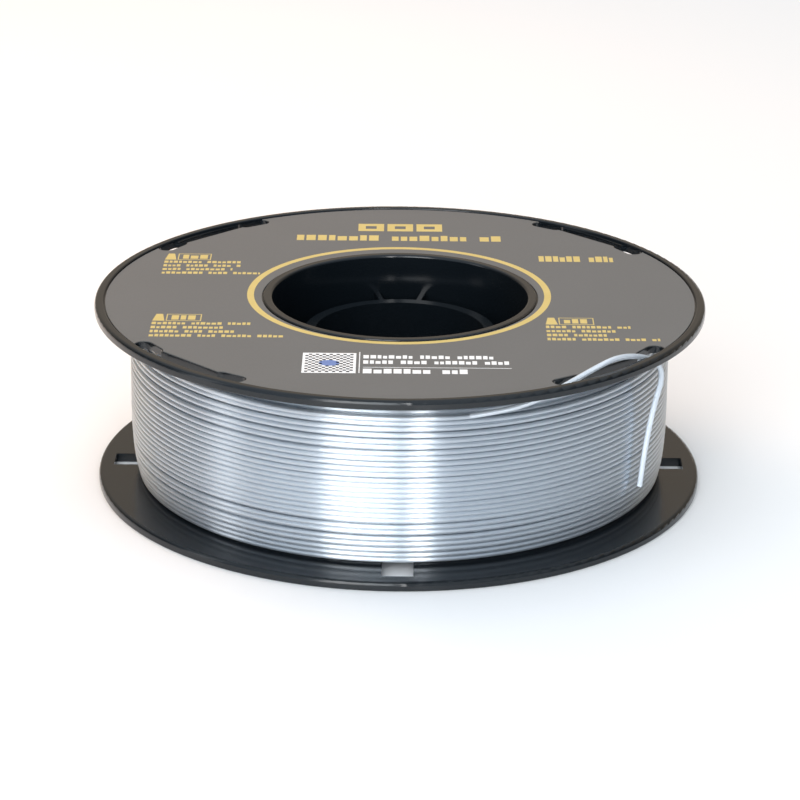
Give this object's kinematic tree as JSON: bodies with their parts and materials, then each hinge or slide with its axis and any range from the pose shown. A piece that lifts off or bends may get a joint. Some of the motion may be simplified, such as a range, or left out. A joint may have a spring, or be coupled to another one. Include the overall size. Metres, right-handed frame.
{
  "type": "filament spool",
  "caption": "Two-part flanged plastic spool wound with round filament, with a paper face label, rim slots, a ribbed bearing hub and a loose filament end.",
  "frame": {"origin": "centre of the lower flange's underside, on the spool's axis", "axes": "+Z along the spool's axis towards the labelled flange; the filament's free end hangs on the +X, -Y side; -Y faces the viewer"},
  "size_m": [0.2, 0.2, 0.0647],
  "materials": {
    "spool_plastic": "satin moulded black plastic",
    "label_paper": "matte coated grey paper with gold and white print",
    "filament": "silver silk, satin metallic sheen"
  },
  "bodies": {
    "root": {"lower_half": "spool_plastic", "upper_half": "spool_plastic", "top_label": "label_paper", "filament_winding": "filament", "filament_end": "filament"}
  },
  "joints": []
}
